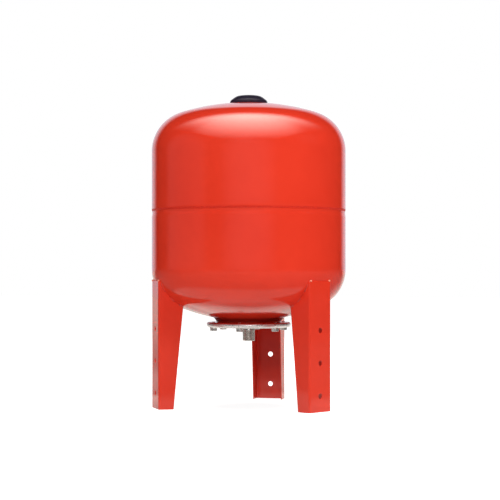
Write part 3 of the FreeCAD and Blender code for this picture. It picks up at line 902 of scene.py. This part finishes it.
def make_collar_weld_mesh():
    """Fillet weld between the collar's neck and the dome, a little bowed outwards."""
    width = 6.0
    bulge = 1.54
    low_z = neck_top_z - width
    rise = lower_dome_z(neck_r + width) - low_z
    outline = []
    for k in range(11):
        share = k / 10
        bow = bulge * share * (1 - share)
        outline.append((neck_r + width * share - bow, low_z + rise * share + bow))
    outline.append((neck_r, neck_top_z))
    return rippled(turned(outline, 960, 50), pitch=2.6, depth=0.18, lean=1.5, seed=5)


def make_dish_mesh():
    """Pressed dish with its curled rim, bolt holes and the nipple's hole."""
    curl = 4.5
    end_r = lip_r + 0.5
    rim_r = end_r + curl
    inside_r = rim_r - dish_t
    curl_z = lip_top_z - dish_t
    corner = lip_top_z - dish_z - curl
    hole_r = nipple_r + 0.13
    corners = [(hole_r, dish_z), (rim_r, dish_z, corner), (rim_r, lip_top_z, curl)]
    corners += [(end_r, lip_top_z), (end_r, curl_z), (inside_r, curl_z, curl - dish_t)]
    corners += [(inside_r, dish_floor_z, corner - dish_t), (hole_r, dish_floor_z)]
    outline = soft_outline(corners, step=7.5, full=True)
    return drilled(turned(outline, 192), bolt_r + 0.5, dish_z - 1, dish_floor_z + 1)


def make_nipple_mesh():
    """Water stub with its pipe thread, its head inside the dish."""
    bore_r = 10.0
    head_r = 17.0
    head_z = dish_floor_z + 2.5
    chamfer = 1.2
    shank_r = nipple_r - 0.2
    low = nipple_end_z + chamfer
    high = low + 21.0
    corners = [(bore_r, nipple_end_z), (nipple_r - chamfer, nipple_end_z), (nipple_r, low, 0)]
    corners += [(nipple_r, high, 0), (shank_r, high, 0), (shank_r, dish_floor_z)]
    corners += [(head_r, dish_floor_z), (head_r, head_z), (bore_r, head_z)]
    mesh = threaded(soft_outline(corners), (low, high), nipple_r,
                    pitch=1.814, depth=1.1, steps=128, per_turn=12)
    return shaded(mesh, 60)


def make_nipple_bead_mesh():
    """Weld bead in the corner between nipple and dish."""
    section = ((-0.2, 2.4), (-0.2, 0), (2.2, 0), (1.7, 0.35), (1.1, 0.8), (0.4, 1.5))
    outline = [(nipple_r + out, dish_z - down) for out, down in section]
    return rippled(turned(outline, 288, 60), pitch=1.6, depth=0.12, lean=1.0, seed=7)


place("neck_ring", make_collar_mesh(), shade_darkened_collar_paint, "neck_collar")
place("neck_bead", make_collar_weld_mesh(), shade_darkened_neck_weld_paint, "collar_weld")
place("dish", make_dish_mesh(), flange_zinc, "counter_flange")
place("nipple", make_nipple_mesh(), port_steel, "water_nipple")
place("nipple_bead", make_nipple_bead_mesh(), flange_zinc, "nipple_weld")

# Bolts and washers of the flange

washer_t = 1.6
under_head_z = dish_z - washer_t


def make_washer_mesh():
    hole_r = 4.25
    washer_r = 7.5
    corners = [(hole_r, 0), (washer_r, 0), (washer_r, washer_t), (hole_r, washer_t)]
    return raised(turned(soft_outline(corners, 0.25), 64), under_head_z)


def make_bolt_mesh():
    """Hexagon head under the dish, and a threaded shank up through the lip."""
    head_h = 5.3
    chamfer = 1.0
    low_z = under_head_z - 0.5
    end_z = lip_top_z + 0.8
    thread_z = end_z - chamfer
    head = raised(hexagon_mesh(13.0, head_h), under_head_z - head_h)
    corners = [(0, low_z), (bolt_r, low_z, 0), (bolt_r, thread_z, 0)]
    corners += [(bolt_r - chamfer, end_z, 0), (0, end_z)]
    shank = threaded(soft_outline(corners), (under_head_z, thread_z), bolt_r,
                     pitch=1.25, depth=0.7, steps=48, per_turn=8)
    return shaded(joined([head, shank]), 40)


place("washers", bolt_ring(make_washer_mesh()), bolt_zinc, "flange_washers")
place("bolts", bolt_ring(make_bolt_mesh()), bolt_zinc, "flange_bolts")


# The bladder

def make_bladder_mesh():
    """Rubber bladder: its lip under the collar, its neck up through it and its belly in the shell."""
    wall = 2.0
    belly_r = 150.0
    belly_bend = 90.0
    top_bend = 125.0
    shoulder_bend = 45.0
    lip_bend = 3.3
    neck_out = neck_r - neck_wall - 0.3
    lip_out = bolt_circle_r - bolt_r - 1.0
    neck_end = neck_top_z + 22.0
    belly_z = neck_end + 85.0
    top_z = seat_z - 60.0
    corners = [(0, top_z - wall), (belly_r - wall, top_z - wall, top_bend - wall)]
    corners += [(belly_r - wall, belly_z + 1.0, belly_bend - wall)]
    corners += [(neck_out - wall, neck_end + 1.0, shoulder_bend + wall)]
    corners += [(neck_out - wall, lip_z + lip_bend)]
    corners += [(lip_out - 12.0, dish_floor_z), (lip_out, dish_floor_z), (lip_out, lip_z)]
    corners += [(neck_out, lip_z, lip_bend), (neck_out, neck_end, shoulder_bend)]
    corners += [(belly_r, belly_z, belly_bend), (belly_r, top_z, top_bend), (0, top_z)]
    return turned(soft_outline(corners, step=6, full=True), 144)


place("bladder_skin", make_bladder_mesh(), seal_rubber, "bladder")

# Legs with their welds

leg_mesh = make_leg_mesh()
weld_mesh = make_leg_weld_mesh()
for name, angle in (("rear", 0), ("left", 120), ("right", 240)):
    leg = moved(leg_mesh.copy(), turn_z(angle))
    stitches = moved(weld_mesh.copy(), turn_z(angle))
    place(name + "_folded_leg", leg, tank_paint, name + "_leg")
    place(name + "_stitches", stitches, glint_tipped_weld_paint, name + "_leg_welds")

# Air valve and its cover

stem_top_z = seat_z + 11.4
core_end_z = stem_top_z - 11.7


def make_stem_mesh():
    """Brass stem: tail and head inside the shell, threaded wall above the nut, and the core's room."""
    wall_r = 3.85
    shank_r = 5.0
    head_r = 8.5
    tail_r = 4.0
    bore_r = 1.5
    room_r = 2.65
    chamfer = 0.4
    head_top = inner_seat_z - 2.0
    head_low = head_top - 2.5
    tail_z = head_low - 12.0
    step_z = nut_seat_z + nut_h + 0.5
    room_z = core_end_z - 4.2
    corners = [(bore_r, tail_z), (tail_r, tail_z), (tail_r, head_low), (head_r, head_low)]
    corners += [(head_r, head_top), (shank_r, head_top), (shank_r, step_z, 0.2), (wall_r, step_z, 0)]
    corners += [(wall_r, stem_top_z - chamfer, 0), (wall_r - chamfer, stem_top_z), (room_r, stem_top_z)]
    corners += [(room_r, room_z), (bore_r, room_z - 1.0)]
    mesh = threaded(soft_outline(corners, 0.15), (step_z + 0.1, stem_top_z - 0.45), wall_r,
                    pitch=0.794, depth=0.4, steps=64, per_turn=8)
    return shaded(mesh, 50)


def make_nut_mesh():
    nut = hexagon_mesh(nut_flats, nut_h, 5.1)
    return moved(raised(nut, nut_seat_z), turn_z(30))


def make_cover_mesh():
    """Moulded cover: skirt, sloping shoulder, flat top and the socket that grips the nut."""
    wall = 1.8
    cover_r = 39.0
    flat_r = 25.0
    flat_bend = 22.0
    side_bend = 8.0
    rim_bend = 0.35
    socket_in = nut_flats / 2 / cos(pi / 6) + 0.12
    socket_out = socket_in + 1.5
    inside_r = cover_r - wall
    rim_z = upper_dome_z(inside_r) + 0.3
    top_z = rim_z + 16.9
    side_z = rim_z + 5.8
    slope = atan2(cover_r - flat_r, top_z - side_z)
    side_drop = wall * tan(slope / 2)
    flat_step = wall * tan((pi / 2 - slope) / 2)
    inner_top = top_z - wall
    low = nut_seat_z + 0.3
    corners = [(flat_r, top_z, flat_bend), (cover_r, side_z, side_bend), (cover_r, rim_z, rim_bend)]
    corners += [(inside_r, rim_z, rim_bend), (inside_r, side_z - side_drop, side_bend - wall)]
    corners += [(flat_r - flat_step, inner_top, flat_bend - wall), (socket_out, inner_top, 0.4)]
    corners += [(socket_out, low), (socket_in, low), (socket_in, inner_top, 0.4)]
    corners += [(0, inner_top), (0, top_z)]
    return turned(soft_outline(corners, step=6, full=True), 160)


def dressed_copy(name, node, finish, body="tank"):
    """A smooth copy of a small solid, its loose triangles merged first."""
    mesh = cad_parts[node].data.copy()
    return place(name, tidy(mesh, 35), finish, node, body)


place("stem", make_stem_mesh(), valve_brass, "valve_stem")
place("stem_nut", make_nut_mesh(), bolt_zinc, "valve_nut")
place("cap", make_cover_mesh(), cover_black, "valve_cover", "cover")
dressed_copy("stem_washer", "valve_washer", bolt_zinc)
dressed_copy("grommet", "valve_grommet", seal_rubber)
dressed_copy("core_barrel", "core_body", valve_brass)
dressed_copy("barrel_seal", "core_seal", seal_rubber)
dressed_copy("pin", "core_pin", valve_brass, "valve_pin")
dressed_copy("pin_seal", "core_pin_seal", seal_rubber, "valve_pin")
spring = dressed_copy("spring", "core_spring", spring_steel)
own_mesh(spring)

# Floor, surroundings, lamps and camera, in metres

up = Vector((0, 0, 1))
camera_turn = radians(14.1)
to_camera = Vector((sin(camera_turn), -cos(camera_turn), 0))
to_right = Vector((cos(camera_turn), sin(camera_turn), 0))
camera_distance = 3.1
camera_z = 0.281
focal_px = 1499.0
photo_px = 500.0
tank_centre = up * 0.4
lamp_distance = 3.0
lamp_size = (1.2, 0.9)


def make_floor():
    """White to the camera; under the tank it is painted dark for bounced light, a painted shadow.
    Reflections see it glow bright behind the tank, and in a ring close round it that is a painted
    reflection."""
    half = 12.0
    points = [(-half, -half, 0), (half, -half, 0), (half, half, 0), (-half, half, 0)]
    floor = new_object("floor", plain_mesh(points, [], [(0, 1, 2, 3)]))
    paint = bpy.data.materials.new("pale_floor")
    paint.use_nodes = True
    tree = paint.node_tree
    tree.nodes.clear()
    rays = tree.nodes.new("ShaderNodeLightPath").outputs
    where = own_place(tree)
    away = vector_maths(tree, "LENGTH", where)
    # Under the tank the floor is painted dark for bounced light: a painted shadow.
    outside_painted_shadow = spread(tree, away, 0.06, 0.2, 0, 1)
    bounced = two_tones(tree, outside_painted_shadow, (0.15, 0.15, 0.15), (0.82, 0.81, 0.8))
    seen = add(tree, "ShaderNodeBsdfDiffuse",
               {"Color": two_tones(tree, rays["Is Glossy Ray"], bounced, (0.2, 0.2, 0.2))})
    oval = add(tree, "ShaderNodeMapping", {"Vector": where, "Rotation": (0, 0, camera_turn),
                                           "Scale": (1, 1 / 1.45, 1)}, vector_type="TEXTURE")
    reach = vector_maths(tree, "LENGTH", oval.outputs[0])
    # A ring round the tank glows only in reflections, a painted reflection, added to the backdrop's glow
    # behind.
    past_middle = spread(tree, reach, 0.04, 0.16, 0.0, 0.6)
    painted_glow_ring = maths(tree, "MULTIPLY", past_middle, spread(tree, reach, 0.43, 0.53, 1.0, 0.0))
    behind = vector_maths(tree, "DOT_PRODUCT", where, -to_camera)
    narrower = spread(tree, away, 0.6, 1.4, -0.6, -0.83)
    rearward = maths(tree, "MULTIPLY_ADD", away, narrower, behind)
    backdrop = maths(tree, "ADD", spread(tree, rearward, -0.12, 0.2, 0.08, 0.85), painted_glow_ring)
    whiter = spread(tree, away, 0.4, 1.6, 0.9, 1.0)
    to_eye = maths(tree, "MULTIPLY", rays["Is Camera Ray"], whiter)
    level = maths(tree, "MULTIPLY_ADD", rays["Is Glossy Ray"], backdrop, to_eye)
    tint = two_tones(tree, rays["Is Glossy Ray"], (1, 1, 1), (1, 0.96, 0.88))
    glow = add(tree, "ShaderNodeEmission", {"Color": tint, "Strength": level})
    both = add(tree, "ShaderNodeAddShader", {0: seen.outputs[0], 1: glow.outputs[0]})
    add(tree, "ShaderNodeOutputMaterial", {"Surface": both.outputs[0]})
    floor.data.materials.append(paint)


def make_world():
    """White to the camera, dim to bounced light; reflections see a backdrop, a front and a left wall."""
    world = bpy.data.worlds.new("studio")
    bpy.context.scene.world = world
    world.use_nodes = True
    tree = world.node_tree
    tree.nodes.clear()
    where = tree.nodes.new("ShaderNodeTexCoord").outputs["Generated"]
    rays = tree.nodes.new("ShaderNodeLightPath").outputs

    def patch(direction, start, full, strength):
        aim = vector_maths(tree, "DOT_PRODUCT", where, direction.normalized())
        return spread(tree, aim, start, full, 0.0, strength, "SMOOTHSTEP")

    back = patch(-to_camera, 0.74, 0.9, 0.88)
    front = patch(to_camera, 0.8, 1.0, 0.35)
    left = patch(-to_right + to_camera * 0.15, 0.82, 0.94, 0.22)
    walls = maths(tree, "ADD", maths(tree, "ADD", back, front), left)
    unseen = two_levels(tree, rays["Is Glossy Ray"], 0.12, walls)
    level = two_levels(tree, rays["Is Camera Ray"], unseen, 1.0)
    tone = two_tones(tree, rays["Is Glossy Ray"], (1, 1, 1), (0.97, 0.94, 1.04))
    light = add(tree, "ShaderNodeBackground", {"Color": tone, "Strength": level})
    add(tree, "ShaderNodeOutputWorld", {"Surface": light.outputs[0]})


def make_lamp(name, place_at, aim_at, size, power, glossy):
    """A rectangular lamp that the camera doesn't see."""
    data = bpy.data.lights.new(name, "AREA")
    data.shape = "RECTANGLE"
    data.size, data.size_y = size
    data.energy = power
    lamp = new_object(name, data)
    lamp.location = place_at
    lamp.rotation_euler = (aim_at - place_at).to_track_quat("-Z", "Y").to_euler()
    lamp.visible_camera = False
    lamp.visible_glossy = glossy
    return lamp


def make_softbox():
    """A wide softbox overhead, seen only as the sheen on the shoulder; it fades forwards and sideways."""
    above = 1.49
    half_width = 1.6
    back = -0.9
    front = 2.9
    bright = 11.5
    width = 2 * half_width * above
    depth = (front - back) * above
    place_at = to_camera * (back + front) / 2 * above + up * (0.58 + above)
    power = bright * pi * width * depth
    lamp = make_lamp("softbox", place_at, tank_centre, (width, depth), power, True)
    lamp.rotation_euler = Matrix((to_right, -to_camera, up)).transposed().to_euler()
    lamp.visible_diffuse = False
    lamp.data.use_nodes = True
    tree = lamp.data.node_tree
    tree.nodes.clear()
    where = tree.nodes.new("ShaderNodeNewGeometry")
    split = add(tree, "ShaderNodeSeparateXYZ", {0: where.outputs["Parametric"]})
    across = spread(tree, split.outputs["X"], 0, 1, -half_width, half_width)
    forward = spread(tree, split.outputs["Y"], 1, 0, back, front)
    aside = maths(tree, "POWER", maths(tree, "ABSOLUTE", across), 2)
    in_front = maths(tree, "MAXIMUM", maths(tree, "SUBTRACT", forward, 0.2), 0)
    ahead = maths(tree, "POWER", maths(tree, "DIVIDE", in_front, 1.1), 1.2)
    widening = maths(tree, "MULTIPLY_ADD", in_front, 0.95, 0.5)
    faded = maths(tree, "ADD", maths(tree, "DIVIDE", aside, widening), ahead)
    back_edge = maths(tree, "MULTIPLY_ADD", aside, 0.32, forward)
    edges = maths(tree, "MULTIPLY", spread(tree, back_edge, -0.28, 0.14, 0.0, 1.0, "SMOOTHSTEP"),
                  spread(tree, forward, 2.4, 2.9, 1.0, 0.0, "SMOOTHSTEP"))
    level = maths(tree, "MULTIPLY", maths(tree, "EXPONENT", maths(tree, "MULTIPLY", faded, -1)), edges)
    glow = add(tree, "ShaderNodeEmission", {"Color": (1.0, 0.95, 0.86, 1), "Strength": level})
    add(tree, "ShaderNodeOutputLight", {"Surface": glow.outputs[0]})


def make_card():
    """A white card low in front that only the metal pieces reflect."""
    card_z = up * 0.3
    lamp = make_lamp("card", to_camera * 1.6 + card_z, card_z, (0.7, 0.56), 2.1, True)
    metal_pieces = bpy.data.collections.new("metal_pieces")
    for name in ("dish", "nipple", "nipple_bead", "bolts", "washers"):
        metal_pieces.objects.link(bpy.data.objects[name])
    lamp.light_linking.receiver_collection = metal_pieces


def make_camera():
    """The photo's camera; the width of its picture is that of a 36 mm sensor."""
    data = bpy.data.cameras.new("camera")
    data.sensor_width = 36.0
    data.lens = focal_px / photo_px * data.sensor_width
    data.shift_x = 0.0026
    data.shift_y = 0.0404
    data.clip_end = 50.0
    camera = new_object("camera", data)
    camera.location = to_camera * camera_distance + up * camera_z
    camera.rotation_euler = (-to_camera).to_track_quat("-Z", "Y").to_euler()
    bpy.context.scene.camera = camera


make_floor()
make_world()
for name, turn, rise, power in (("front_lamp", -8, 20, 32.0), ("left_lamp", -82, 50, 18.0),
                                ("right_lamp", 75, 20, 24.0), ("high_lamp", 24, 55, 28.0),
                                ("rear_lamp", 165, 20, 20.0)):
    level = to_camera * cos(radians(turn)) + to_right * sin(radians(turn))
    way = level * cos(radians(rise)) + up * sin(radians(rise))
    make_lamp(name, tank_centre + way * lamp_distance, tank_centre, lamp_size, power, False)
make_softbox()
make_card()
make_camera()
bpy.context.scene.view_settings.view_transform = "Standard"
